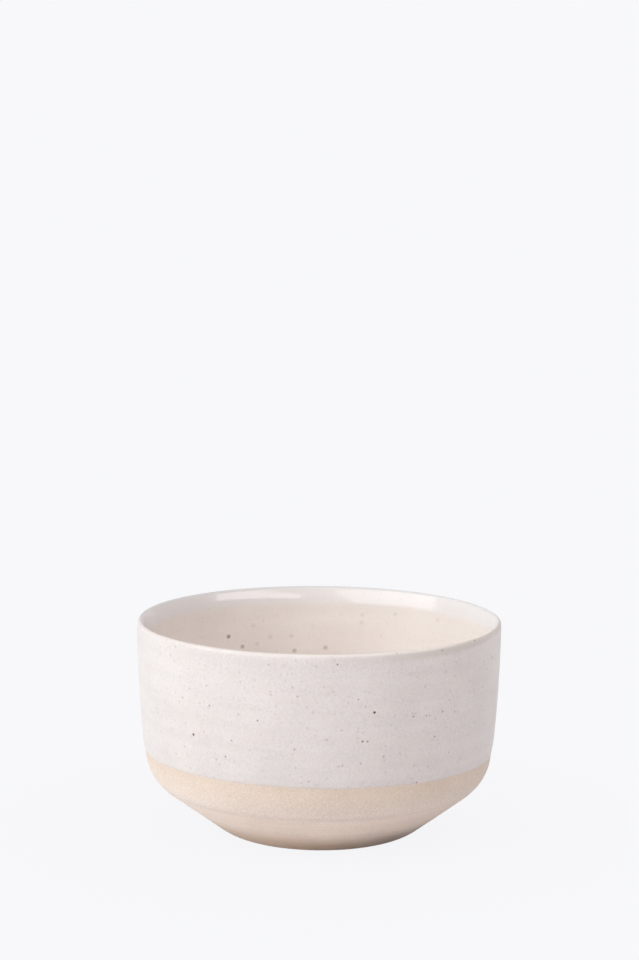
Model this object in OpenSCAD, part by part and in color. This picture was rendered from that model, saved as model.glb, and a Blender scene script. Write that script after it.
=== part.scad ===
// Espresso cup without a handle, in speckled stoneware. One turned clay body
// carries two fired coats of glaze: a liner poured inside and a coat dipped over
// the outside, which stops above the bare clay of the shoulder and foot.
// Millimetres, +Z up. The origin is the middle of the plane that the foot stands on.

/* [Overall] */
// Outside diameter at the lip, over the glaze
rim_d = 75; // [66:0.5:86]
// Height from the table to the top of the lip, over the glaze
cup_h = 44; // [36:0.5:60]

/* [Lip] */
// Thickness of the clay at the top of the lip
lip_t = 0.5; // [0.4:0.05:1.4]
// Rounding of the two edges of the lip
lip_round = 0.2; // [0.1:0.05:0.25]
// Height over which the inside of the wall opens out to the lip
flare_h = 2.4; // [2:0.1:8]
// Radius that eases the inside of the wall into this flare
flare_round = 9; // [3:0.5:13]

/* [Wall] */
// Thickness of the clay at the top of the wall, where the flare starts
wall_top_t = 1.6; // [1.2:0.1:2.4]
// Thickness of the clay at the bottom of the wall, in the shoulder and in the cone under it
wall_t = 2.5; // [2:0.1:4]
// How far the wall swells out beyond a straight line
wall_bow = 0.35; // [0.1:0.05:1]

/* [Shoulder] */
// Diameter of the clay where the wall and the cone under it would meet
shoulder_d = 70.6; // [64:0.2:74]
// Height of that meeting
shoulder_h = 11.8; // [9:0.1:16]
// Radius of the turn between the wall and the cone
shoulder_round = 9.7; // [5:0.1:12]

/* [Foot] */
// Diameter of the circle where the cone would meet the table
foot_d = 39.2; // [34:0.2:46]
// Radius of the turn between the cone and the table
foot_round = 7; // [2:0.1:9]
// Diameter of the shallow hollow under the foot
hollow_d = 27; // [16:0.5:28]
// Depth of that hollow
hollow_h = 0.8; // [0.4:0.1:1.5]

/* [Floor] */
// Thickness of the clay in the floor, measured from the table
floor_t = 3.8; // [2.6:0.1:5]
// Radius of the turn between the floor and the inside of the cone
well_round = 6; // [2:0.1:9]

/* [Glaze] */
// Thickness of both coats of glaze
glaze_t = 0.25; // [0.15:0.05:0.4]
// Height of the line where the outside coat stops
glaze_line = 16.6; // [15:0.1:26]

/* [Hidden] */

clay_colour = "#dcc8b6";
glaze_colour = "#e6dfdc";

// Largest gap between a round stretch and the straight steps that draw it
arc_gap = 0.004;

// Points lie in a half section of the cup: x is the radius and y the height. Outlines
// run with the clay on their left, so that right_of() an edge points out of the clay.
function unit(v) = v / norm(v);
function right_of(v) = [v.y, -v.x];
function turn_at(a, b, c) =
    let (u = unit(b - a), v = unit(c - b)) atan2(u.x * v.y - u.y * v.x, u * v);
// Length of each edge that a round of radius r takes up at corner b
function tangent_at(a, b, c, r) = r * tan(abs(turn_at(a, b, c)) / 2);
// Corner b moved by t out of the clay, square to both of its edges
function moved_corner(a, b, c, t) =
    let (m = right_of(unit(b - a)), n = right_of(unit(c - b))) b + t * (m + n) / (1 + m * n);
// Corner b as a round of radius r, moved by t out of the clay
function round_corner(a, b, c, r, t) =
    let (
        turn = turn_at(a, b, c),
        side = sign(turn),
        along = unit(b - a),
        out = right_of(along),
        centre = b - along * tangent_at(a, b, c, r) - side * r * out,
        steps = max(1, ceil(abs(turn) / (2 * acos(1 - arc_gap / r)))),
        start = atan2(out.y, out.x)
    )
    [for (i = [0:steps])
        let (angle = start + turn * i / steps)
        centre + (side * r + t) * [cos(angle), sin(angle)]];
// A whole outline of corners [radius, height, round], moved by t out of the clay
function outline(corners, t) =
    let (last = len(corners) - 1, at = [for (c = corners) [c[0], c[1]]])
    [
        at[0] + t * right_of(unit(at[1] - at[0])),
        for (i = [1:last - 1])
            each corners[i][2] > 0
                ? round_corner(at[i - 1], at[i], at[i + 1], corners[i][2], t)
                : [moved_corner(at[i - 1], at[i], at[i + 1], t)],
        at[last] + t * right_of(unit(at[last] - at[last - 1])),
    ];
function reversed(list) = [for (i = [len(list) - 1:-1:0]) list[i]];

// Corners of the outside, from the foot to the lip
clay_rim_r = rim_d / 2 - glaze_t;
clay_h = cup_h - glaze_t;
foot_corner = [foot_d / 2, 0];
shoulder_corner = [shoulder_d / 2, shoulder_h];
lip_outer = [clay_rim_r, clay_h];
wall_run = lip_outer - shoulder_corner;
bow_corner = shoulder_corner + wall_run / 2 + 2 * wall_bow * right_of(unit(wall_run));
// The bow is one arc that fills the wall between the turns at its two ends
lip_inner = [clay_rim_r - lip_t, clay_h];
shoulder_tangent = tangent_at(foot_corner, shoulder_corner, bow_corner, shoulder_round);
lip_tangent = tangent_at(bow_corner, lip_outer, lip_inner, lip_round);
bow_tangent = norm(bow_corner - shoulder_corner) - max(shoulder_tangent, lip_tangent);
bow_round = bow_tangent / tan(turn_at(shoulder_corner, bow_corner, lip_outer) / 2);

// Corners of the inside, from the lip to the floor
flare_corner = [clay_rim_r - wall_top_t, clay_h - flare_h];
inner_shoulder = moved_corner(foot_corner, shoulder_corner, bow_corner, -wall_t);
inner_shoulder_round = shoulder_round - wall_t;
cone_run = shoulder_corner - foot_corner;
well_corner = inner_shoulder - cone_run * (inner_shoulder.y - floor_t) / cone_run.y;

// Stretches of the section's outline, each corner [radius, height, round]
hollow_edge = [hollow_d / 2, 0, 0];
under_foot = [
    [0, hollow_h, 0],
    [hollow_d / 2 - hollow_h, hollow_h, 0],
    hollow_edge,
];
outside = [
    [each foot_corner, foot_round],
    [each shoulder_corner, shoulder_round],
    [each bow_corner, bow_round],
    [each lip_outer, lip_round],
];
inside = [
    [each lip_inner, lip_round],
    [each flare_corner, flare_round],
    [each inner_shoulder, inner_shoulder_round],
    [each well_corner, well_round],
    [0, floor_t, 0],
];
// The two coats meet on top of the lip, halfway between its two rounds
lip_inner_tangent = tangent_at(lip_outer, lip_inner, flare_corner, lip_round);
lip_seam = [(lip_outer.x - lip_tangent + lip_inner.x + lip_inner_tangent) / 2, clay_h, 0];

// Half section of a coat of glaze laid along a stretch of corners
module coat(corners) {
    polygon(concat(outline(corners, 0), reversed(outline(corners, glaze_t))));
}

// The fired stoneware, one piece from the foot to the lip
module clay_body() {
    color(clay_colour) rotate_extrude()
        polygon(outline(concat(under_foot, outside, inside), 0));
}

// The coat dipped over the outside, from the glaze line up to the lip
module outer_glaze() {
    color(glaze_colour) rotate_extrude()
        intersection() {
            coat(concat([hollow_edge], outside, [lip_seam]));
            translate([0, glaze_line]) square([rim_d, cup_h]);
        }
}

// The coat poured inside, from the floor of the well up to the lip
module liner_glaze() {
    color(glaze_colour) rotate_extrude() coat(concat([lip_seam], inside));
}

clay_body();
outer_glaze();
liner_glaze();
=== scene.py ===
# %% [markdown]
# # A speckled stoneware espresso cup
# This lesson dresses a turned cup in Blender. The cup has no handle: it is one clay body with a
# glaze poured inside, a glaze dipped over the outside, and bare clay from the shoulder down.
# The measured solids are loaded first. They fix the sizes, and every piece made here stands
# exactly where its solid stands.

# %% Load the frame
import math

import bmesh
import bpy
from mathutils import Euler, Matrix, Vector


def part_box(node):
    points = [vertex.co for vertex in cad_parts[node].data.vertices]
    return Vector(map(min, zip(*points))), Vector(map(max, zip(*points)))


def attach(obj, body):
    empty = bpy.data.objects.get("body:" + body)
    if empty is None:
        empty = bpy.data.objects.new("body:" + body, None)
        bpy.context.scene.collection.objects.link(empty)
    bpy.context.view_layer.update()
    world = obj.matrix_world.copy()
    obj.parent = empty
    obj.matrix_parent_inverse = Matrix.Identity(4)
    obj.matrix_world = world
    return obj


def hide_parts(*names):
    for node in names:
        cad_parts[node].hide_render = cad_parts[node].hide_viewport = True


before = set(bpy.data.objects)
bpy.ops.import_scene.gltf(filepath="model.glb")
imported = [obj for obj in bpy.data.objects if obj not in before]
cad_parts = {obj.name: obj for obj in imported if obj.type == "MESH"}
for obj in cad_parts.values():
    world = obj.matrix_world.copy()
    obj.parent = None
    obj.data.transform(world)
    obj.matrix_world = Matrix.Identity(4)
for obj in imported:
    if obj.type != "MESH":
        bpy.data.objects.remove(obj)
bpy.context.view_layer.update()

MM = 0.001
_, clay_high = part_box("clay_body")
coat_low, coat_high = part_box("outer_glaze")
liner_low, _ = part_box("liner_glaze")

# %% [markdown]
# ## Camera
# A product picture of a small cup is taken from about half a metre with a longish lens, which
# keeps the rim from looking stretched. A Track To constraint would aim the camera and put the cup
# in the middle of the picture. Here numbers set it instead: its height and distance give the rim
# its ellipse, its pitch puts the cup low in a tall picture, and it is rolled by half a degree, as
# a hand-set camera is.

# %% Camera
picture_width = 639
picture_height = 960
lens_in_pixels = 2402
sensor_long_side = 36.0
camera_distance = 0.5
camera_rise = math.radians(13.12)
camera_pitch = math.radians(7.698)
camera_roll = math.radians(0.45)
camera_side_step = -0.2 * MM
aim_height = 25 * MM


def in_scene(name, data):
    """A new object in the scene with this name and data."""
    thing = bpy.data.objects.new(name, data)
    bpy.context.scene.collection.objects.link(thing)
    return thing


camera_data = bpy.data.cameras.new("camera")
camera_data.sensor_width = sensor_long_side
camera_data.lens = lens_in_pixels * sensor_long_side / picture_height
camera = in_scene("camera", camera_data)
bpy.context.scene.camera = camera
camera_place = Vector((
    camera_side_step,
    -camera_distance * math.cos(camera_rise),
    aim_height + camera_distance * math.sin(camera_rise),
))
looking = Euler((math.pi / 2 - camera_pitch, 0, 0)).to_matrix().to_4x4()
rolled = Matrix.Rotation(camera_roll, 4, "Z")
camera.matrix_world = Matrix.Translation(camera_place) @ looking @ rolled
print("lens", round(camera_data.lens, 1), "mm, camera at", [round(x, 4) for x in camera_place])


def sight_line(x, y):
    """Direction in which the camera sees the picture's point x, y."""
    across = (x + 0.5 - picture_width / 2) / lens_in_pixels
    up = (picture_height / 2 - y - 0.5) / lens_in_pixels
    return (looking @ rolled).to_3x3() @ Vector((across, up, -1))


# %% [markdown]
# ## Working with nodes
# Shaders and Geometry Nodes are both graphs. They can be drawn by hand in Blender's editors, or
# written node by node, which is hard to read. Two small classes make them read like formulas.
# `Flow` wraps a socket, and arithmetic on it adds Math nodes. `Bench` wraps a tree, and its `add`
# is the one way in for every other node: the type, its settings, and what its sockets hold.

# %% Flow
class Flow:
    """A node's output that Python's operators can work with."""

    def __init__(self, bench, node, out=0):
        self.bench = bench
        self.node = node
        self.socket = node.outputs[out]

    def __add__(self, other):
        return self.bench.calc("ADD", self, other)

    def __sub__(self, other):
        return self.bench.calc("SUBTRACT", self, other)

    def __rsub__(self, other):
        return self.bench.calc("SUBTRACT", other, self)

    def __mul__(self, other):
        return self.bench.calc("MULTIPLY", self, other)

    def __truediv__(self, other):
        return self.bench.calc("DIVIDE", self, other)

    def __gt__(self, other):
        return self.bench.calc("GREATER_THAN", self, other)

    def __abs__(self):
        return self.bench.calc("ABSOLUTE", self)

    __radd__ = __add__
    __rmul__ = __mul__


print("Flow is ready")


# %% Bench
class Bench:
    """A node tree to work on."""

    def __init__(self, tree):
        self.tree = tree

    def add(self, kind, settings=None, sockets=None, out=0):
        """Adds a node, makes its settings, fills or links its sockets, and gives one output."""
        node = self.tree.nodes.new(kind)
        for name, setting in (settings or {}).items():
            setattr(node, name, setting)
        for key, value in (sockets or {}).items():
            self.fill(node.inputs[key], value)
        return Flow(self, node, out) if node.outputs else node

    def fill(self, socket, value):
        """Links a flow, or each flow of a list, to a socket, or gives the socket a plain value."""
        if isinstance(value, list):
            for flow in value:
                self.fill(socket, flow)
        elif isinstance(value, Flow):
            self.tree.links.new(value.socket, socket)
        else:
            socket.default_value = value

    def calc(self, operation, *values):
        """A Math node on these values."""
        return self.add("ShaderNodeMath", {"operation": operation}, dict(enumerate(values)))

    def blend(self, factor, a, b):
        """Colour a where factor is 0 and colour b where it is 1."""
        return self.add("ShaderNodeMix", {"data_type": "RGBA"}, {0: factor, 6: a, 7: b}, out=2)

    def rise(self, value, low, high):
        """0 below low and 1 above high, with a smooth step between them."""
        steps = {0: value, 1: low, 2: high, 3: 0.0, 4: 1.0}
        return self.add("ShaderNodeMapRange", {"interpolation_type": "SMOOTHSTEP"}, steps)

    def bell(self, value, middle, reach):
        """1 at the middle, falling smoothly to 0 at that reach on both sides."""
        return 1 - self.rise(abs(value - middle), 0.0, reach)

    def noise(self, vector, scale=1.0, detail=2.0):
        """Smooth noise about 0, from roughly -0.5 to 0.5."""
        sockets = {"Vector": vector, "Scale": scale, "Detail": detail}
        return self.add("ShaderNodeTexNoise", {"noise_dimensions": "3D"}, sockets) - 0.5

    def stretched(self, vector, stretch):
        """A vector multiplied part by part."""
        return self.add("ShaderNodeVectorMath", {"operation": "MULTIPLY"}, {0: vector, 1: stretch})

    def length(self, vector):
        """The length of a vector."""
        return self.add("ShaderNodeVectorMath", {"operation": "LENGTH"}, {0: vector}, out=1)

    def parts(self, vector):
        """The x, y and z of a vector."""
        x = self.add("ShaderNodeSeparateXYZ", {}, {0: vector})
        return x, Flow(self, x.node, 1), Flow(self, x.node, 2)

    def point(self, x, y, z):
        """The vector x, y, z."""
        return self.add("ShaderNodeCombineXYZ", {}, {0: x, 1: y, 2: z})


print("Bench is ready")


# %% Colours
def paint(code):
    """A colour code such as #dcd3d1 as the linear colour that shaders work with."""
    levels = [int(code[i : i + 2], 16) / 255 for i in (1, 3, 5)]
    linear = [v / 12.92 if v <= 0.04045 else ((v + 0.055) / 1.055) ** 2.4 for v in levels]
    return (*linear, 1.0)


print("paint('#808080') is", round(paint("#808080")[0], 3))

# %% [markdown]
# ## The cup's half section
# A cup made on a wheel is one outline turned about an axis, so the outline is the design. It could
# be drawn as a Bezier curve, by eye. Here it is given by a few corners, each with the radius of its
# round, as a potter's template is, because corners can be measured. They are the corners that gave
# the solids, with the heights read from the frame.

# %% Corners of the section
glaze_thick = coat_high.z - clay_high.z
glaze_line = coat_low.z
floor_top = liner_low.z
clay_top = clay_high.z
rim_radius = 37.5 * MM
clay_rim = rim_radius - glaze_thick
lip_thick = 0.5 * MM
lip_round = 0.2 * MM
flare_height = 2.4 * MM
flare_round = 9.0 * MM
wall_top_thick = 1.6 * MM
wall_thick = 2.5 * MM
wall_bow = 0.35 * MM
shoulder_round = 9.7 * MM
foot_round = 7.0 * MM
hollow_depth = 0.8 * MM
hollow_round = 0.5 * MM
well_round = 6.0 * MM

foot = Vector((19.6, 0.0)) * MM
shoulder = Vector((35.3, 11.8)) * MM
hollow_edge = Vector((13.5, 0.0)) * MM
lip_outer = Vector((clay_rim, clay_top))
lip_inner = Vector((clay_rim - lip_thick, clay_top))
flare = Vector((clay_rim - wall_top_thick, clay_top - flare_height))
print("glaze of", round(glaze_thick / MM, 2), "mm, down to", round(glaze_line / MM, 1), "mm")


# %% Corners that follow from the others
def out_of(edge):
    """The way out of the clay, square to an edge that is walked with the clay on its left."""
    return Vector((edge.y, -edge.x)).normalized()


def turn_at(a, b, c):
    """Angle that the walk a, b, c turns by at b, to the left if it is above 0."""
    u = b - a
    v = c - b
    return math.atan2(u.x * v.y - u.y * v.x, u.dot(v))


def tangent_at(a, b, c, radius):
    """Length of each edge that a round of this radius takes up at b."""
    return radius * math.tan(abs(turn_at(a, b, c)) / 2)


wall = lip_outer - shoulder
cone = shoulder - foot
bow = shoulder + wall / 2 + 2 * wall_bow * out_of(wall)
bow_reach = (bow - shoulder).length - tangent_at(foot, shoulder, bow, shoulder_round)
bow_round = bow_reach / math.tan(turn_at(shoulder, bow, lip_outer) / 2)
cone_out = out_of(cone)
wall_out = out_of(bow - shoulder)
inner_shoulder = shoulder - wall_thick * (cone_out + wall_out) / (1 + cone_out.dot(wall_out))
well = inner_shoulder - cone * ((inner_shoulder.y - floor_top) / cone.y)
lip_flat_outer = lip_outer.x - tangent_at(bow, lip_outer, lip_inner, lip_round)
lip_flat_inner = lip_inner.x + tangent_at(lip_outer, lip_inner, flare, lip_round)
lip_seam = (Vector(((lip_flat_outer + lip_flat_inner) / 2, clay_top)), 0.0)

under_foot = [
    (Vector((0.0, hollow_depth)), 0.0),
    (hollow_edge + Vector((-hollow_depth, hollow_depth)), hollow_round),
    (hollow_edge, hollow_round),
]
outside = [(foot, foot_round), (shoulder, shoulder_round), (bow, bow_round), (lip_outer, lip_round)]
inside = [
    (lip_inner, lip_round),
    (flare, flare_round),
    (inner_shoulder, shoulder_round - wall_thick),
    (well, well_round),
    (Vector((0.0, floor_top)), 0.0),
]
print("wall bow radius", round(bow_round / MM), "mm, well radius", round(well.x / MM, 1), "mm")

# %% [markdown]
# ## Walking the outline
# A smooth surface needs points close together along the outline. A Bevel modifier could round the
# corners, but each point also has to know the way out of the clay, because a coat of glaze is the
# same outline moved outwards by the glaze's thickness. So the outline is walked in small steps,
# with the clay on the left, and every step keeps its place and its way out.

# %% Walking the outline
outer_step = 0.2 * MM
inner_step = 0.35 * MM


def shares(length, spacing):
    """Even shares from 0 up to, and without, 1, for steps of about this spacing."""
    count = max(1, math.ceil(length / spacing))
    return [i / count for i in range(count)]


def walk(corners, spacing):
    """Points along rounded corners, each with the way out of the clay there."""
    steps = []
    here = corners[0][0]
    for (a, _), (b, radius), (c, _) in zip(corners, corners[1:], corners[2:]):
        turn = turn_at(a, b, c)
        side = math.copysign(1, turn)
        reach = tangent_at(a, b, c, radius)
        out = out_of(b - a)
        start = b - (b - a).normalized() * reach
        middle = start - side * radius * out
        steps += [(here.lerp(start, s), out) for s in shares((start - here).length, spacing)]
        for s in shares(radius * abs(turn), spacing):
            way = Matrix.Rotation(turn * s, 2) @ out
            steps.append((middle + side * radius * way, way))
        here = b + (c - b).normalized() * reach
    end = corners[-1][0]
    out = out_of(end - here)
    steps += [(here.lerp(end, s), out) for s in shares((end - here).length, spacing)]
    return [*steps, (end, out)]


clay_walk = walk([*under_foot, *outside, *inside], outer_step)
dip_walk = walk([under_foot[-1], *outside, lip_seam], outer_step)
dip_walk = [(p, o) for p, o in dip_walk if p.y >= glaze_line]
pour_walk = walk([lip_seam, *inside], inner_step)
print("points walked:", len(clay_walk), "clay,", len(dip_walk), "dip,", len(pour_walk), "pour")

# %% [markdown]
# ## The section of each piece
# Each piece is a list of places on its section: the point, the way out, and whether it shows.
# Where clay lies under glaze, or glaze on clay, nothing shows and a few points do. The clay has a
# fine groove where the trimming tool stopped. The dipped glaze thins out over its last few
# millimetres and leans in towards the top of the lip, because molten glaze runs off an edge. Such
# marks could be carved afterwards, but here one number each shapes them all the way round.

# %% Sections
crease_height = 10.2 * MM
crease_depth = 0.04 * MM
crease_reach = 0.8 * MM
thin_reach = 4.0 * MM
lip_lean = 0.17 * MM
lip_lean_reach = 1.4 * MM
lip_lean_start = 0.45 * MM
tucked_under = 1.0 * MM
sunk = 0.04 * MM
hidden_stride = 5


def thinned(places):
    """Drops most of the places that never show."""
    return [place for i, place in enumerate(places) if place[2] or i % hidden_stride == 0]


def grooved(point, out):
    """The point, moved into the clay where the trimming tool left its groove."""
    off_crease = abs(point.y - crease_height) / crease_reach
    return point - out * crease_depth * max(0.0, 1 - off_crease)


def dipped(point, out):
    """The dipped glaze's surface over a point of the clay, thinner close to its lower edge."""
    share = min(1.0, (point - dip_walk[0][0]).length / thin_reach)
    return point + out * glaze_thick * (1 - (1 - share) ** 2)


def leaned(point):
    """The point, moved in where the dipped glaze thins towards the top of the lip."""
    below = min(1.0, (coat_high.z - point.y) / lip_lean_reach)
    off_seam = min(1.0, max(0.0, (point.x - lip_seam[0].x) / lip_lean_start))
    return point - Vector((lip_lean * (1 - below) ** 2 * off_seam, 0.0))


glazed_from = next(i for i, (p, _) in enumerate(clay_walk) if p.y > glaze_line + tucked_under)
clay_section = [(grooved(p, o), o, 1.0) for p, o in clay_walk[:glazed_from]]
clay_section += thinned([(p, o, 0.0) for p, o in clay_walk[glazed_from:-1]])
clay_section.append((*clay_walk[-1], 0.0))

dip_section = [(leaned(dipped(p, o)), o, 1.0) for p, o in dip_walk]
dip_section += thinned([(p - o * sunk, o, 0.0) for p, o in reversed(dip_walk)])
dip_section.append(dip_section[0])

pour_section = thinned([(p - o * sunk, o, 0.0) for p, o in reversed(pour_walk)])
pour_section += [(p + o * glaze_thick, o, 1.0) for p, o in pour_walk]
counts = [len(section) for section in (clay_section, dip_section, pour_section)]
print("points of the three sections:", counts)

# %% [markdown]
# ## Turning a section on the wheel
# Blender can turn an outline with the Screw modifier, or with Spin in edit mode. Here Geometry
# Nodes do it, because a hand-made cup isn't quite round and the tree can say how: it lays a grid,
# bends it round the axis, and moves each point a little. A potter leaves such moves: a wall
# slightly out of round, faint ridges from the fingers, a foot trimmed a shade off centre, and a
# glaze line that slants and wanders. All three pieces share the tree and its seed, so they still
# fit each other.

# %% Tree helpers
sharp_angle = math.radians(40)


def new_tree(name, inputs):
    """A Geometry Nodes tree with these named inputs, and its bench and inputs to work with."""
    tree = bpy.data.node_groups.new(name, "GeometryNodeTree")
    tree.interface.new_socket("Geometry", in_out="INPUT", socket_type="NodeSocketGeometry")
    for label, kind in inputs.items():
        tree.interface.new_socket(label, in_out="INPUT", socket_type="NodeSocket" + kind)
    tree.interface.new_socket("Geometry", in_out="OUTPUT", socket_type="NodeSocketGeometry")
    bench = Bench(tree)
    entry = bench.add("NodeGroupInput").node
    given = {label: Flow(bench, entry, i) for i, label in enumerate(["Geometry", *inputs])}
    return tree, bench, given


def end_tree(bench, geometry, finish):
    """Ends a tree: copies become real, faces become smooth, and the finish is set."""
    real = bench.add("GeometryNodeRealizeInstances", {}, {0: geometry})
    smooth = bench.add("GeometryNodeSetShadeSmooth", {}, {0: real})
    done = bench.add("GeometryNodeSetMaterial", {}, {"Geometry": smooth, "Material": finish})
    bench.add("NodeGroupOutput", {}, {0: done})


def stored(bench, name, kind):
    """Reads a named attribute of the geometry."""
    return bench.add("GeometryNodeInputNamedAttribute", {"data_type": kind}, {"Name": name})


def store(bench, geometry, name, kind, value):
    """The geometry, with a value stored on it as a named attribute."""
    sockets = {"Geometry": geometry, "Name": name, "Value": value}
    return bench.add("GeometryNodeStoreNamedAttribute", {"data_type": kind}, sockets)


def moved(bench, geometry, place):
    """The geometry, with each point moved to its place."""
    return bench.add("GeometryNodeSetPosition", {}, {"Geometry": geometry, "Position": place})


def run_tree(piece, tree, values):
    """Runs a tree on a piece with these inputs and keeps the result as a plain mesh."""
    modifier = piece.modifiers.new(tree.name, "NODES")
    modifier.node_group = tree
    for item in tree.interface.items_tree:
        if item.in_out == "INPUT" and item.name in values:
            modifier[item.identifier] = values[item.name]
    depsgraph = bpy.context.evaluated_depsgraph_get()
    mesh = bpy.data.meshes.new_from_object(piece.evaluated_get(depsgraph))
    piece.modifiers.remove(modifier)
    piece.data = mesh
    mesh.set_sharp_from_angle(angle=sharp_angle)


print("tree helpers ready")

# %% Marks of the hand
wobble_scale = 0.9
wobble_climb = 12
finger_spread = 0.6
finger_pitch = 0.5
wander_spread = 1.6
wander_level = 4.0
lip_fade = (clay_top - 2 * MM, clay_top - 0.5 * MM)
axis_fade = (1 * MM, 8 * MM)
table_fade = (0.0, 1 * MM)
edge_fade = (0.0, 5 * MM)
foot_fade = (2 * MM, 16 * MM)
weld_distance = 2e-6
wheel_inputs = {
    "Sides": "Int", "Out of round": "Float", "Ridges": "Float", "Foot off centre": "Float",
    "Edge height": "Float", "Edge wander": "Float", "Slant east": "Float", "Slant north": "Float",
    "Edge moves": "Float", "Seed": "Float", "Finish": "Material",
}
print("the wheel takes", len(wheel_inputs), "inputs")


# %% The wheel
def wheel_tree():
    """Turns a section into a surface about the axis, with the marks of the hand."""
    tree, bench, given = new_tree("turn_on_the_wheel", wheel_inputs)
    section = given["Geometry"]
    seed = given["Seed"]
    count = bench.add("GeometryNodeAttributeDomainSize", {"component": "MESH"}, {0: section})
    lines = {"Vertices X": given["Sides"] + 1, "Vertices Y": count}
    grid = bench.add("GeometryNodeMeshGrid", {}, lines)
    index = bench.add("GeometryNodeInputIndex")
    column = bench.calc("FLOOR", index / count)
    row = index - column * count

    def on_section(value, kind):
        sockets = {"Geometry": section, "Value": value, "Index": row}
        return bench.add("GeometryNodeSampleIndex", {"data_type": kind}, sockets)

    position = bench.add("GeometryNodeInputPosition")
    radius, _, height = bench.parts(on_section(position, "FLOAT_VECTOR"))
    way_out = stored(bench, "way_out", "FLOAT_VECTOR")
    out_r, _, out_z = bench.parts(on_section(way_out, "FLOAT_VECTOR"))
    shown = on_section(stored(bench, "shown", "FLOAT"), "FLOAT")
    angle = column / given["Sides"] * math.tau
    east = bench.calc("COSINE", angle)
    north = bench.calc("SINE", angle)

    wobble_at = bench.point(east + seed, north, height * wobble_climb)
    wobble = bench.noise(wobble_at, wobble_scale, detail=1.0)
    climb = height / MM * finger_pitch
    finger_at = bench.point(east * finger_spread + seed, north * finger_spread, climb)
    ridge = bench.noise(finger_at, detail=3.0) * given["Ridges"] * shown
    below_lip = 1 - bench.rise(height, *lip_fade)
    off_axis = bench.rise(radius, *axis_fade)
    off_table = bench.rise(height, *table_fade)
    ridge = ridge * below_lip * off_axis * off_table

    wander_at = bench.point(east * wander_spread + seed, north * wander_spread, wander_level)
    wander = bench.noise(wander_at, detail=3.0)
    slant = east * given["Slant east"] + north * given["Slant north"]
    rise = wander * given["Edge wander"] - slant
    edge = given["Edge height"] + rise
    near_edge = 1 - bench.rise(height - given["Edge height"], *edge_fade)
    lift = rise * given["Edge moves"] * near_edge

    new_radius = radius + wobble * given["Out of round"] * (radius / clay_rim)
    new_radius = new_radius + ridge * out_r - lift * out_z
    new_height = height + ridge * out_z + lift * out_r
    shift = given["Foot off centre"] * (1 - bench.rise(height, *foot_fade))
    turned = moved(bench, grid, bench.point(new_radius * east + shift, new_radius * north, new_height))
    turned = store(bench, turned, "over_edge", "FLOAT", new_height - edge)
    turned = store(bench, turned, "shown", "FLOAT", shown)
    weld = {"Geometry": turned, "Distance": weld_distance}
    closed = bench.add("GeometryNodeMergeByDistance", {}, weld)
    end_tree(bench, closed, given["Finish"])
    return tree


wheel = wheel_tree()
print("the wheel has", len(wheel.nodes), "nodes")

# %% [markdown]
# ## The glaze
# The glaze is a white stoneware glaze, melted thin over a warm clay. It lies thicker in some
# places than in others and in faint bands from the turning, and a fine grain of clay shows
# through. Where it runs thin along the dipped coat's lower edge, the clay warms it. Round the lip
# a band of thin glaze is painted darker on the right, away from the key box: partly thin glaze,
# partly painted shade. The top of the lip carries a painted highlight in front and painted shade
# on the left under the key box, on the far right and on the far side, and the flare inside it is
# painted a cooler shade. An image could hold all this, but it would blur close up. Noise on the
# cup's own coordinates, in millimetres, gives every pattern its real size instead. In the names
# below, a scale counts waves to the millimetre, a span is where a shade begins and ends, and a
# share is how strongly it shows.

# %% Helpers for finishes
mote_core = 0.4


def new_finish(name):
    """A material with an empty tree, the bench to build it on, and the place in millimetres."""
    finish = bpy.data.materials.new(name)
    finish.use_nodes = True
    finish.node_tree.nodes.clear()
    bench = Bench(finish.node_tree)
    place = bench.add("ShaderNodeTexCoord", out=3)
    return finish, bench, bench.stretched(place, (1 / MM, 1 / MM, 1 / MM))


def attribute(bench, name):
    """A number that the mesh stores for each point."""
    return bench.add("ShaderNodeAttribute", {"attribute_name": name}, out=2)


def motes(bench, spot, scale, narrow, wide, share, faintest, spread):
    """How strongly dots show that are strewn through the material, each by its own luck."""
    cells = {"Vector": spot, "Scale": scale, "Randomness": 1.0}
    cell = bench.add("ShaderNodeTexVoronoi", {"feature": "F1"}, cells)
    chance, size, luck = bench.parts(Flow(bench, cell.node, 1))
    distance = cell / (narrow + size * (wide - narrow))
    dot = (1 - bench.rise(distance, mote_core, 1.0)) * (chance > 1 - share)
    return dot * (faintest + luck * spread)


def end_finish(bench, colour, roughness, relief, constants):
    """Ends a finish with one shader. The relief is in millimetres."""
    bump = {"Height": relief, "Distance": MM, "Strength": 1.0}
    sockets = {
        "Base Color": colour,
        "Roughness": roughness,
        "Normal": bench.add("ShaderNodeBump", {}, bump),
        **constants,
    }
    shader = bench.add("ShaderNodeBsdfPrincipled", {}, sockets)
    bench.add("ShaderNodeOutputMaterial", {}, {"Surface": shader})


print("helpers for finishes ready")

# %% The glaze's body
dip_shades = (paint("#c5bdba"), paint("#d8d0cd"), paint("#d2c7c2"))
pour_shades = (paint("#d8cec8"), paint("#e3dbd5"), paint("#ded2cb"))
cloud_scale = 0.09
cloud_share = 0.5
band_stretch = (0.05, 0.05, 0.5)
band_share = 0.3
pale_span = (-0.4, 0.4)
blush_scale = 0.35
blush_span = (-0.1, 0.3)
blush_share = 0.5
streak_stretch = (0.08, 0.08, 0.8)
streak_span = (0.1, 0.3)
streak_share = 0.4


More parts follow.
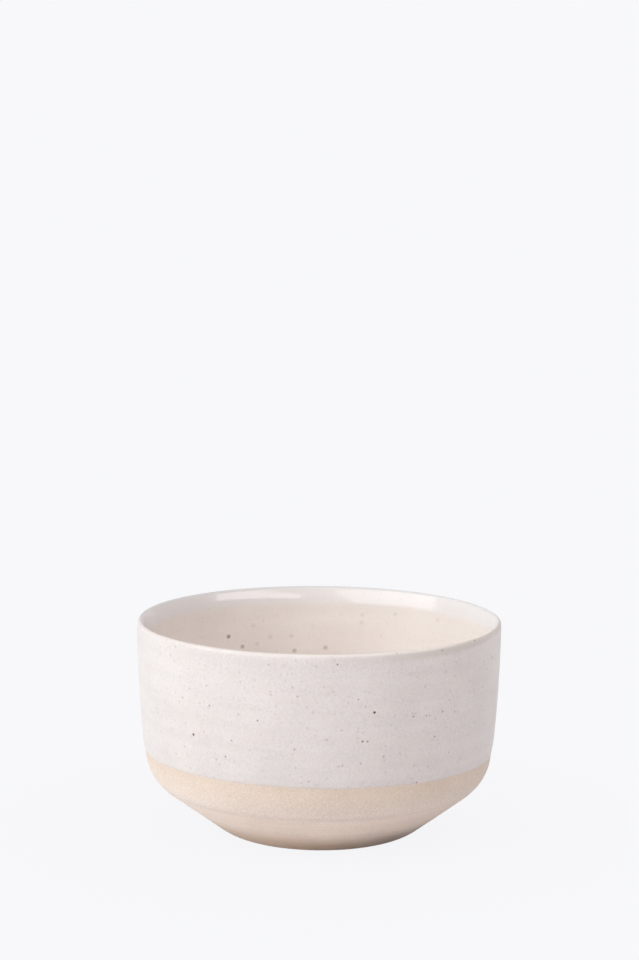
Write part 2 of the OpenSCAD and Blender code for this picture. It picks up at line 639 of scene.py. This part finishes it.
def melted_body(bench, spot, shades, grain):
    """The glaze's own colour: grey where it is thin and pale where thick, with a pink blush."""
    grey, pale, pink = shades
    clouds = bench.noise(spot, cloud_scale, detail=3.0)
    bands = bench.noise(bench.stretched(spot, band_stretch))
    thickness = clouds * cloud_share + bands * band_share + grain
    colour = bench.blend(bench.rise(thickness, *pale_span), grey, pale)
    blush = bench.rise(bench.noise(spot, blush_scale), *blush_span)
    colour = bench.blend(blush * blush_share, colour, pink)
    streaks = bench.rise(bench.noise(bench.stretched(spot, streak_stretch)), *streak_span)
    return bench.blend(streaks * streak_share, colour, pale)


print("the glaze's body has clouds about", round(1 / cloud_scale), "mm wide")

# %% The glaze on the lip
# These shades paint light on the lip. The first darkens a band of thin glaze on the right with painted
# shade and darkens the top on the far right. The second is painted shade on the far side. The third is
# painted shade that dims the top on the left under the key box. The fourth is a painted highlight on
# the top in front. The fifth is painted cool shade in the flare.
lip_thin_shade = paint("#c0b6b0")
lip_far_shade = paint("#cac8c7")
lip_left_shade = paint("#c9beb9")
lip_highlight = paint("#dad0ca")
flare_shade = paint("#cdccd2")
lip_top = coat_high.z / MM
seam_radius = lip_seam[0].x / MM
# Where the lip's painted light falls: the band and its painted shade on the right, away from the key
# box, the flare's painted shade, and the top's painted highlight and shade.
shaded_side_turn = 0.3
far_span = (-15.0, 10.0)
band_span = (lip_top - 2.1, lip_top - 1.3)
band_outside = (seam_radius + 0.2, seam_radius + 0.5)
band_narrows = (-28.0, -12.0)
band_narrowing = 0.9
shaded_band_span = (10.0, 36.0)
shaded_band_share = 0.75
flare_span = (lip_top - 4.5, lip_top - 2.0)
flare_inside = (seam_radius, seam_radius + 0.3)
flare_share = 0.35
top_span = (lip_top - 0.5, lip_top - 0.1)
top_highlight_span = (-4.0, 12.0)
top_shade_span = (30.0, 40.0)
near_top_share = 0.7
far_top_share = 0.3


def thin_and_shaded_lip(bench, spot, ragged, colour):
    """The colour with the lip's painted light: a thin band painted darker on the right, painted shade
    in the flare, a painted highlight and painted shade on top. The second value is 1 on top of the
    lip.
    """
    east, north, height = bench.parts(spot)
    radius = bench.length(bench.point(east, north, 0.0))
    # How far a point lies towards the right and the front, the side that carries the painted shade.
    toward_shaded_side = east - north * shaded_side_turn
    far_side = bench.rise(north, *far_span)

    # A band of thin glaze round the lip, darkened on the right, away from the key box, by painted
    # shade.
    narrower = bench.rise(north, *band_narrows) * band_narrowing
    band = bench.rise(height + ragged - narrower, *band_span) * bench.rise(radius, *band_outside)
    shaded_band = shaded_band_share * bench.rise(toward_shaded_side, *shaded_band_span)
    colour = bench.blend(band * shaded_band, colour, lip_thin_shade)

    # Painted cool shade in the flare inside the lip.
    in_flare = bench.rise(height, *flare_span) * (1 - bench.rise(radius, *flare_inside))
    colour = bench.blend(in_flare * flare_share, colour, flare_shade)

    # The top of the lip: a painted highlight in front, and painted shade on the left under the key
    # box, on the far right and on the far side.
    on_top = bench.rise(height, *top_span)
    shade = bench.blend(bench.rise(toward_shaded_side, *top_highlight_span), lip_left_shade, lip_highlight)
    shade = bench.blend(bench.rise(toward_shaded_side, *top_shade_span), shade, lip_thin_shade)
    shade = bench.blend(far_side, shade, lip_far_shade)
    return bench.blend(on_top * (near_top_share + far_side * far_top_share), colour, shade), on_top


print("lip at a height of", round(lip_top, 2), "mm, its seam at", round(seam_radius, 2), "mm")

# %% [markdown]
# ## Specks in the glaze's finish
# Iron specks are dots of melted metal in the glaze, rusty at the rim and dark in the middle. They
# could have a material of their own, but then each one would end in a hard line. Here they share
# the glaze's finish. Two stored values, `core` and `dark`, say how far inside a speck a point lies
# and how dark the speck is, and both are 0 on the glaze itself.

# %% The glaze's finish
glaze_thin = paint("#bba599")
mote_brown = paint("#ab9a91")
rust = paint("#94705f")
iron = paint("#56382b")
grain_scale = 2.4
ragged_stretch = (0.25, 0.25, 1.0)
edge_ragged = 0.4
edge_span = (-0.1, 0.7)
mote_settings = {
    "scale": 1.0, "narrow": 0.16, "wide": 0.4, "share": 0.5, "faintest": 0.1, "spread": 0.35,
}
rust_reach = 0.5
rust_least = 0.06
rust_share = 0.8
iron_start = 0.2
iron_reach = 0.7
pit_scale = 0.6
pit_depth = 0.012
grain_roughness = 0.1
lip_roughness = 0.25


def speckled_glaze(
    name, shades, roughness, refraction, grain_strength, mote_strength, thin_edge, speck_blur
):
    """A glaze's finish. thin_edge is how far the clay shows at the lower edge of a dipped coat."""
    finish, bench, spot = new_finish(name)
    grain = bench.noise(spot, grain_scale, detail=3.0)
    ragged = bench.noise(bench.stretched(spot, ragged_stretch), detail=3.0)
    colour = melted_body(bench, spot, shades, grain * grain_strength)
    colour, on_top = thin_and_shaded_lip(bench, spot, ragged, colour)
    over_edge = attribute(bench, "over_edge") / MM
    at_edge = 1 - bench.rise(over_edge + ragged * edge_ragged, *edge_span)
    colour = bench.blend(at_edge * thin_edge, colour, glaze_thin)

    mote = motes(bench, spot, **mote_settings)
    colour = bench.blend(mote * mote_strength, colour, mote_brown)
    core = attribute(bench, "core")
    dark = attribute(bench, "dark")
    rusty = bench.rise(core, 0.0, rust_reach + speck_blur) * (rust_least + dark * rust_share)
    colour = bench.blend(rusty, colour, rust)
    heart = bench.rise(core, iron_start, iron_reach + speck_blur) * dark
    colour = bench.blend(heart, colour, iron)

    uneven = roughness + grain * grain_roughness + on_top * lip_roughness
    pits = bench.noise(spot, pit_scale, detail=1.0) * pit_depth
    end_finish(bench, colour, uneven, pits, {"IOR": refraction})
    return finish


dip_finish = speckled_glaze(
    "dipped_satin_glaze", dip_shades, roughness=0.4, refraction=1.5,
    grain_strength=0.9, mote_strength=1.0, thin_edge=0.6, speck_blur=0.0,
)
pour_finish = speckled_glaze(
    "poured_glossy_glaze", pour_shades, roughness=0.13, refraction=1.42,
    grain_strength=0.5, mote_strength=0.4, thin_edge=0.0, speck_blur=0.4,
)
print("two glaze finishes with", len(dip_finish.node_tree.nodes), "nodes each")

# %% [markdown]
# ## The bare clay
# Below the glaze the stoneware is bare: a warm sandy beige, dry and matt, with a fine tooth of
# sand, which catches some light at a glancing angle. That is what Sheen is for. A toasted line
# runs just under the glaze. Under the groove the trimming tool has burnished it pinker and
# smoother, with faint turning lines. The rest is painted shade: in the groove, on the foot near
# the table, towards the glaze, which leaves the shoulder's downward turn lighter, and on the
# right, away from the key box. Vertex colours could hold such zones, but only as finely as the
# mesh. Here the height and the side drive them in the shader, and noise breaks the borders.

# %% Shades of the clay
clay_sand = paint("#ebdbd2")
clay_deep = paint("#d3c1b3")
clay_rose = paint("#dfcabb")
clay_pink = paint("#f0ded1")
# Darker clay for painted shade: towards the glaze, which leaves the shoulder's downward turn lighter,
# and on the right, away from the key box.
clay_shade_sand = paint("#d3c1b1")
clay_shade_deep = paint("#c4b2a2")
clay_cloud_scale = 0.12
clay_cloud_share = 0.5
sand_scale = 3.2
turning_stretch = (0.06, 0.06, 2.2)
sandy_grain = 1.35
sandy_span = (-0.35, 0.35)
burnished_grain = 1.3
burnished_lines = 0.4
burnished_span = (-0.4, 0.4)
tooth_depth = 0.05
tooth_worn = 0.3
line_depth = 0.03
dry_roughness = 0.88
burnished_roughness = 0.12
sand_roughness = 0.1
clay_constants = {"IOR": 1.45, "Sheen Weight": 0.15, "Sheen Roughness": 0.5}
print("the clay's grains are about", round(1 / sand_scale, 2), "mm wide")

# %% Zones of the clay
clay_toast = paint("#b49277")
# Painted shade in the trimming groove.
groove_shade = paint("#bba698")
clay_grit = paint("#bfa591")
# Colours of the painted shade on the foot: lighter on the left, darker on the right, away from the key
# box.
foot_shade_light = paint("#c2a690")
foot_shade_dark = paint("#8a7364")
groove_height = crease_height / MM
groove_reach = crease_reach / MM
# How strongly the groove's painted shade shows.
groove_shade_share = 0.13
groove_clouds = 0.5
toast_middle = -0.3
toast_reach = 1.6
toast_share = 0.22
toast_clouds = 0.4
# Where the foot carries painted shade near the table, and how it darkens towards the right.
foot_shade_span = (1.2, 6.6)
foot_clouds = 2
foot_shade_side_span = (-6.0, 18.0)
# Spans of that painted shade: up towards the glaze and, below the groove, towards the right.
upper_shade_span = (9.5, 16.0)
upper_shade_tilt = 0.03
upper_shade_clouds = 4
upper_shade_share = 0.75
right_shade_span = (2.0, 26.0)
right_shade_clouds = 20
right_shade_share = 0.3
grit_settings = {
    "scale": 1.6, "narrow": 0.1, "wide": 0.3, "share": 0.5, "faintest": 0.1, "spread": 0.4,
}
print("the clay is burnished below", round(groove_height, 1), "mm")


# %% The clay's finish
def bare_clay():
    """The finish of the unglazed stoneware."""
    finish, bench, spot = new_finish("bare_clay")
    east, _, height = bench.parts(spot)
    clouds = bench.noise(spot, clay_cloud_scale, detail=3.0)
    grain = bench.noise(spot, sand_scale, detail=4.0)
    turning = bench.noise(bench.stretched(spot, turning_stretch), detail=3.0)
    mottle = bench.rise(clouds * clay_cloud_share + grain * sandy_grain, *sandy_span)
    sandy = bench.blend(mottle, clay_deep, clay_sand)
    smooth = clouds * clay_cloud_share + grain * burnished_grain + turning * burnished_lines
    burnished = bench.blend(bench.rise(smooth, *burnished_span), clay_rose, clay_pink)
    trimmed = 1 - bench.rise(height, groove_height - groove_reach, groove_height)
    colour = bench.blend(trimmed, sandy, burnished)

    over_edge = attribute(bench, "over_edge") / MM
    toasted = bench.bell(over_edge, toast_middle, toast_reach) * (toast_share + clouds * toast_clouds)
    colour = bench.blend(toasted, colour, clay_toast)
    # Painted shade near the table, darker on the right.
    foot_contact_shade = 1 - bench.rise(height + clouds * foot_clouds, *foot_shade_span)
    foot_shade = bench.blend(bench.rise(east, *foot_shade_side_span), foot_shade_light, foot_shade_dark)
    colour = bench.blend(foot_contact_shade, colour, foot_shade)
    # Painted shade in the groove.
    in_groove = bench.bell(height, groove_height, groove_reach)
    colour = bench.blend(in_groove * (groove_shade_share + clouds * groove_clouds), colour, groove_shade)

    # Painted shade towards the glaze and on the right side.
    shade_height = height + east * upper_shade_tilt + clouds * upper_shade_clouds
    clay_shade = bench.rise(shade_height, *upper_shade_span) * upper_shade_share
    right_shade = bench.rise(east + clouds * right_shade_clouds, *right_shade_span)
    clay_shade = clay_shade + trimmed * right_shade * right_shade_share
    colour = bench.blend(clay_shade, colour, bench.blend(mottle, clay_shade_deep, clay_shade_sand))
    colour = bench.blend(motes(bench, spot, **grit_settings), colour, clay_grit)

    tooth = grain * tooth_depth * (1 - trimmed * tooth_worn) + turning * trimmed * line_depth
    roughness = dry_roughness - trimmed * burnished_roughness + grain * sand_roughness
    end_finish(bench, colour, roughness, tooth, clay_constants)
    return finish


clay_finish = bare_clay()
print("clay finish with", len(clay_finish.node_tree.nodes), "nodes")

# %% [markdown]
# ## The three turned pieces
# Now the sections go on the wheel. Each one starts as a bare line of points with two stored
# values, the way out and what shows, and comes back as a closed surface. The tree could stay on
# the piece as a modifier, but a plain mesh can be measured and taken to other programs. The sign
# of its volume tells whether the faces point outwards, so that is tested and put right.

# %% Turned pieces
wheel_settings = {
    "Sides": 288,
    "Out of round": 0.25 * MM,
    "Ridges": 0.05 * MM,
    "Foot off centre": 0.3 * MM,
    "Edge height": glaze_line,
    "Edge wander": 0.5 * MM,
    "Slant east": 0.35 * MM,
    "Slant north": 0.65 * MM,
    "Seed": 7.0,
}


def new_piece(name, points, edges):
    """A piece of this name, with bare points and edges, in the scene."""
    mesh = bpy.data.meshes.new(name)
    mesh.from_pydata(points, edges, [])
    return in_scene(name, mesh)


def note(piece, name, kind, values):
    """Stores a number, or a vector given as three numbers, for each point of a piece."""
    column = piece.data.attributes.new(name, kind, "POINT")
    column.data.foreach_set("vector" if kind == "FLOAT_VECTOR" else "value", values)


def turned_piece(name, places, finish, edge_moves):
    """Turns the places of a section into a piece of this name."""
    steps = [(i, i + 1) for i in range(len(places) - 1)]
    piece = new_piece(name, [(p.x, 0.0, p.y) for p, _, _ in places], steps)
    note(piece, "way_out", "FLOAT_VECTOR", [x for _, o, _ in places for x in (o.x, 0.0, o.y)])
    note(piece, "shown", "FLOAT", [s for _, _, s in places])
    run_tree(piece, wheel, {**wheel_settings, "Edge moves": edge_moves, "Finish": finish})

    solid = bmesh.new()
    solid.from_mesh(piece.data)
    volume = solid.calc_volume(signed=True)
    open_edges = sum(not edge.is_manifold for edge in solid.edges)
    solid.free()
    if volume < 0:
        piece.data.flip_normals()
    millilitres = round(volume * 1e6, 2)
    print(name, len(piece.data.polygons), "faces", open_edges, "open edges", millilitres, "ml")
    return piece


fired_clay = turned_piece("fired_clay", clay_section, clay_finish, edge_moves=0.0)
dipped_glaze = turned_piece("dipped_glaze", dip_section, dip_finish, edge_moves=1.0)
poured_liner = turned_piece("poured_liner", pour_section, pour_finish, edge_moves=0.0)

# %% [markdown]
# ## Iron specks
# Grains of iron in the clay melt out into the glaze and leave brown dots, a few of them large.
# Painting them would tie them to an image. Here each speck is a small disc laid on the curved
# glaze and lifted from it by a hair, and Geometry Nodes set hundreds of copies of one disc. The
# specks that face the camera are placed one by one, by where they are seen in the picture: a ray
# from the camera finds the point on the glaze. The tree scatters the others over the rest of the
# glaze, with a fixed seed.

# %% Specks that the picture shows
# Each group has a width, a darkness and the places of its specks in the picture.
speck_groups = {
    "large": (0.75 * MM, 0.95, [(193, 734), (374, 712)]),
    "strong": (0.64 * MM, 0.62, [(362, 741)]),
    "dark": (0.6 * MM, 0.43, [
        (209, 705), (337, 664), (434, 736), (442, 711), (225, 756), (257, 720), (416, 782), (413, 716),
        (367, 741), (474, 640), (491, 657),
    ]),
    "middle": (0.6 * MM, 0.26, [
        (297, 696), (454, 711), (294, 749), (360, 763), (342, 765), (182, 697), (358, 699), (383, 756),
        (426, 715), (231, 740), (442, 650),
    ]),
    "fine": (0.62 * MM, 0.16, [
        (189, 688), (268, 664), (292, 687), (429, 715), (316, 666), (326, 739), (427, 766),
        (449, 699), (412, 713), (415, 713), (238, 714), (216, 759), (341, 730), (338, 766), (448, 752),
        (308, 781), (206, 685), (184, 746), (175, 646),
    ]),
    "blurred": (0.8 * MM, 0.02, [
        (475, 677), (460, 759), (380, 683), (252, 709), (262, 770), (164, 710), (167, 688), (184, 685),
        (283, 665), (310, 692), (341, 713), (406, 756), (156, 664), (170, 654), (201, 658), (215, 664),
        (180, 676), (163, 679), (226, 668), (310, 672), (273, 739), (234, 761), (187, 754), (171, 759),
        (289, 775), (384, 699), (405, 735), (422, 731), (428, 733), (412, 702), (352, 783), (411, 778),
        (315, 735), (349, 723),
    ]),
    "inside, dark": (1.55 * MM, 0.5, [(228, 636)]),
    "inside": (1.55 * MM, 0.3, [(242, 646)]),
    "inside, pale": (1.6 * MM, 0.2, [(294, 650), (325, 647)]),
    "inside, faint": (1.55 * MM, 0.045, [
        (270, 636), (291, 635), (257, 643), (253, 624), (395, 613), (437, 619), (362, 614), (361, 622),
    ]),
}


def seen_at(x, y):
    """The glaze that the camera sees at the picture's point x, y, with the place and its normal."""
    found = []
    for glaze in (dipped_glaze, poured_liner):
        hit, place, normal, _ = glaze.ray_cast(camera_place, sight_line(x, y))
        if hit:
            found.append(((place - camera_place).length, glaze.name, place, normal))
    return min(found)[1:]


speck_lists = {"dipped_glaze": [], "poured_liner": []}
bpy.context.view_layer.update()
for width, dark, spots in speck_groups.values():
    for x, y in spots:
        glaze_name, place, normal = seen_at(x, y)
        speck_lists[glaze_name].append((place, normal, width, dark))
print("specks placed:", {name: len(specks) for name, specks in speck_lists.items()})

# %% Scattered specks
side_fade = (0.0, 6 * MM)
height_fade = (-1 * MM, 1 * MM)
fully_shown = 0.99
rarity = 5.0
scattered_dark = (0.15, 0.6)
large_dark = 0.4
speck_inputs = {
    "Glaze": "Object", "Spacing": "Float", "Per square metre": "Float", "Listed side": "Float",
    "Listed above": "Float", "Narrowest": "Float", "Widest": "Float", "Seed": "Int",
    "Finish": "Material",
}


def scattered_points(bench, given, glaze, random):
    """Points spread over the part of a glaze where no specks are listed, few of them large."""
    _, north, height = bench.parts(bench.add("GeometryNodeInputPosition"))
    listed = bench.rise(north * given["Listed side"], *side_fade)
    listed = listed * bench.rise(height - given["Listed above"], *height_fade)
    sockets = {
        "Mesh": glaze,
        "Selection": stored(bench, "shown", "FLOAT") > fully_shown,
        "Distance Min": given["Spacing"],
        "Density Max": given["Per square metre"],
        "Density Factor": 1 - listed,
        "Seed": given["Seed"],
    }
    evenly = {"distribute_method": "POISSON"}
    points = bench.add("GeometryNodeDistributePointsOnFaces", evenly, sockets)
    normal = Flow(bench, points.node, "Normal")
    large = bench.calc("POWER", random(0.0, 1.0, draw=1), rarity)
    width = given["Narrowest"] + large * (given["Widest"] - given["Narrowest"])
    points = store(bench, points, "facing", "FLOAT_VECTOR", normal)
    points = store(bench, points, "width", "FLOAT", width)
    dark = random(*scattered_dark, draw=2) + large * large_dark
    return store(bench, points, "dark", "FLOAT", dark)


print("the speck tree takes", len(speck_inputs), "inputs")

# %% The speck tree
disc_sides = 10
disc_rings = 3
length_range = (0.8, 1.25)
breadth_range = (0.8, 1.1)
edge_lift = 0.02
middle_lift = 0.05
clear_of_edge = 10 * MM


def flat_disc(bench):
    """A disc of radius 1 that stores core, 0 at its edge and 1 in its middle."""
    sides = {"Vertices": disc_sides, "Side Segments": disc_rings}
    size = {"Radius Top": 0.0, "Radius Bottom": 1.0, "Depth": 1.0}
    cone = bench.add("GeometryNodeMeshCone", {"fill_type": "TRIANGLE_FAN"}, {**sides, **size})
    x, y, rise = bench.parts(bench.add("GeometryNodeInputPosition"))
    cone = store(bench, cone, "core", "FLOAT", rise * (2 - rise))
    return moved(bench, cone, bench.point(x, y, 0.0))


def speck_tree():
    """Lays a disc on every listed point, and on points scattered over the rest of a glaze."""
    tree, bench, given = new_tree("iron_specks", speck_inputs)
    relative = {"transform_space": "RELATIVE"}
    glaze = bench.add("GeometryNodeObjectInfo", relative, {"Object": given["Glaze"]}, out="Geometry")

    def random(low, high, draw):
        sockets = {2: low, 3: high, "Seed": given["Seed"] + draw}
        return bench.add("FunctionNodeRandomValue", {"data_type": "FLOAT"}, sockets, out=1)

    scattered = scattered_points(bench, given, glaze, random)
    placed = bench.add("GeometryNodeMeshToPoints", {}, {"Mesh": given["Geometry"]})
    points = bench.add("GeometryNodeJoinGeometry", {}, {0: [scattered, placed]})

    half = stored(bench, "width", "FLOAT") * 0.5
    facing = stored(bench, "facing", "FLOAT_VECTOR")
    upright = bench.add("FunctionNodeAlignRotationToVector", {"axis": "Z"}, {"Vector": facing})
    spin = {"Rotation": upright, "Rotate By": bench.point(0.0, 0.0, random(0.0, math.tau, draw=3))}
    spun = bench.add("FunctionNodeRotateRotation", {"rotation_space": "LOCAL"}, spin)
    length = half * random(*length_range, draw=4)
    breadth = half * random(*breadth_range, draw=5)
    copies = {
        "Points": points,
        "Instance": flat_disc(bench),
        "Rotation": spun,
        "Scale": bench.point(length, breadth, half),
    }
    copies = bench.add("GeometryNodeInstanceOnPoints", {}, copies)
    laid = bench.add("GeometryNodeRealizeInstances", {}, {0: copies})
    nearest = bench.add("GeometryNodeProximity", {"target_element": "FACES"}, {0: glaze})
    lift = (stored(bench, "core", "FLOAT") * middle_lift + edge_lift) * half
    lifted = {0: nearest, 1: bench.stretched(facing, lift)}
    laid = moved(bench, laid, bench.add("ShaderNodeVectorMath", {"operation": "ADD"}, lifted))
    laid = store(bench, laid, "over_edge", "FLOAT", clear_of_edge)
    end_tree(bench, laid, given["Finish"])
    return tree


speck_layer = speck_tree()
print("the speck tree has", len(speck_layer.nodes), "nodes")

# %% Speck pieces
speck_settings = {"Spacing": 1.6 * MM, "Narrowest": 0.36 * MM, "Seed": 11}


def speck_piece(name, glaze, finish, settings):
    """The specks of one glaze: those that were listed, and the scattered ones."""
    listed = speck_lists[glaze.name]
    piece = new_piece(name, [place for place, _, _, _ in listed], [])
    note(piece, "facing", "FLOAT_VECTOR", [x for _, normal, _, _ in listed for x in normal])
    note(piece, "width", "FLOAT", [width for _, _, width, _ in listed])
    note(piece, "dark", "FLOAT", [dark for _, _, _, dark in listed])
    run_tree(piece, speck_layer, {**speck_settings, **settings, "Glaze": glaze, "Finish": finish})
    print(name, len(piece.data.polygons), "faces")
    return piece


specks_outside = speck_piece("specks_outside", dipped_glaze, dip_finish, {
    "Listed side": -1.0, "Listed above": 0.0, "Per square metre": 16000.0, "Widest": 0.9 * MM,
})
specks_inside = speck_piece("specks_inside", poured_liner, pour_finish, {
    "Listed side": 1.0, "Listed above": 26 * MM, "Per square metre": 9000.0, "Widest": 1.1 * MM,
})

# %% [markdown]
# ## Joining the frame
# Every piece is parented, through an empty, to the body it moves with, and the solid that
# each turned piece stands for is hidden.
# The cup has no moving parts, so there is one body.

# %% Joining the frame
stands_for = {"clay_body": fired_clay, "outer_glaze": dipped_glaze, "liner_glaze": poured_liner}
for node, piece in stands_for.items():
    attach(piece, "root")
    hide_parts(node)
for piece in (specks_outside, specks_inside):
    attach(piece, "root")

# %% [markdown]
# ## Floor and backdrop
# The cup stands on a white table, which runs on into a white backdrop. More light would make the
# table white too, but it would bleach the cup. So the table is a matt sheet, which lights the bare
# cone under the cup from below, and what the camera and the glaze's reflections see of it is
# chosen with Light Path: mostly the flat background colour, with a faint shadow near the cup. A
# greyer sheet carries that shadow, which in full light is just as bright as the background.

# %% Floor
backdrop = paint("#f8f8fa")
floor_white = paint("#e3e3e5")
floor_shade = paint("#c4c4c6")
floor_reach = 1.2
floor_sides = 96
shadow_depth = 0.045
shadow_reach = (25, 90)


def seen_directly(bench):
    """1 on rays that show the background itself, and 0 on those that only carry light."""
    path = bench.add("ShaderNodeLightPath").node
    rays = ("Is Camera Ray", "Is Glossy Ray", "Is Transmission Ray")
    camera_ray, glossy, clear = (Flow(bench, path, name) for name in rays)
    return bench.calc("MAXIMUM", bench.calc("MAXIMUM", camera_ray, glossy), clear)


def white_floor():
    """The table's finish: a matt sheet that mostly looks like the backdrop."""
    finish, bench, spot = new_finish("white_floor")
    shade = shadow_depth * (1 - bench.rise(bench.length(spot), *shadow_reach))
    seen = seen_directly(bench)
    sheet = bench.blend(seen, floor_white, floor_shade)
    matt = bench.add("ShaderNodeBsdfDiffuse", {}, {"Color": sheet})
    flat = bench.add("ShaderNodeEmission", {}, {"Color": backdrop})
    mixed = bench.add("ShaderNodeMixShader", {}, {0: seen * (1 - shade), 1: matt, 2: flat})
    bench.add("ShaderNodeOutputMaterial", {}, {"Surface": mixed})
    return finish


floor_mesh = bpy.data.meshes.new("floor")
disc = bmesh.new()
bmesh.ops.create_circle(disc, cap_ends=True, segments=floor_sides, radius=floor_reach)
disc.to_mesh(floor_mesh)
disc.free()
floor_mesh.materials.append(white_floor())
floor = in_scene("floor", floor_mesh)
print("floor with a radius of", floor_reach, "m")

# %% [markdown]
# ## Light
# The room's walls are dark. Its ceiling is brighter on the right, it has a window on the left, and
# some light from behind keeps the back from going dark. A wide soft box in front on the left makes
# that side the brighter one and shows as a pale patch inside the far lip on the right. A shallow
# one in front on the right leaves a fainter patch on the left. A picture of a studio could light
# the cup too, but a few named levels are easier to change. They are plain levels: a surface that
# faces the camera renders about as its colour is written.

# %% Room
walls = (0.0, 0.0, 0.0, 1.0)
ceiling_left = (0.2, 0.2, 0.2, 1.0)
ceiling_right = (1.46, 1.37, 1.35, 1.0)
window = (1.3, 1.43, 1.43, 1.0)
behind = (0.8, 0.84, 0.92, 1.0)
behind_span = (0.2, 0.9)
window_span = (0.3, 1.0)
ceiling_sides = (-0.6, 0.6)
ceiling_span = (0.35, 0.95)

world = bpy.data.worlds.new("studio")
bpy.context.scene.world = world
world.use_nodes = True
world.node_tree.nodes.clear()
studio = Bench(world.node_tree)
aside, inward, upward = studio.parts(studio.add("ShaderNodeTexCoord"))
room = studio.blend(studio.rise(inward, *behind_span), walls, behind)
room = studio.blend(studio.rise(aside * -1, *window_span), room, window)
ceiling = studio.blend(studio.rise(aside, *ceiling_sides), ceiling_left, ceiling_right)
room = studio.blend(studio.rise(upward, *ceiling_span), room, ceiling)
sky = studio.blend(seen_directly(studio), room, backdrop)
glow = studio.add("ShaderNodeBackground", {}, {"Color": sky})
studio.add("ShaderNodeOutputWorld", {}, {"Surface": glow})
print("room level from", walls[0], "at the walls to", ceiling_right[0], "overhead")


# %% Soft boxes
def soft_box(name, left, up, away, width, height, level):
    """A soft box that faces the cup, by its angles from the camera's side, in degrees."""
    light = bpy.data.lights.new(name, "AREA")
    light.shape = "RECTANGLE"
    light.size = width
    light.size_y = height
    light.color = level
    # The power grows with the box, so that its brightness depends on its level alone.
    light.energy = math.pi * width * height
    lamp = in_scene(name, light)
    turn = math.radians(left)
    rise = math.radians(up)
    flat = math.cos(rise)
    way = Vector((-math.sin(turn) * flat, -math.cos(turn) * flat, math.sin(rise)))
    lamp.location = way * away + Vector((0, 0, aim_height))
    lamp.rotation_euler = way.to_track_quat("Z", "Y").to_euler()
    lamp.visible_camera = False
    print(name, "of", round(light.energy, 1), "W at", [round(x, 2) for x in lamp.location])


key_level = (3.42, 3.47, 3.5)
fill_level = (4.9, 4.9, 4.95)
soft_box("key_soft_box", left=55, up=30, away=0.9, width=1.14, height=0.6, level=key_level)
soft_box("fill_soft_box", left=-48, up=33, away=0.9, width=0.98, height=0.2, level=fill_level)
bpy.context.scene.view_settings.view_transform = "Standard"

# %% [markdown]
# ## Finish
# The dressed cup has to stay the size of its solids. That could be judged by eye, but a tenth of a
# millimetre can't be seen. Here the scene is only brought up to date.

# %% Finish
bpy.context.view_layer.update()
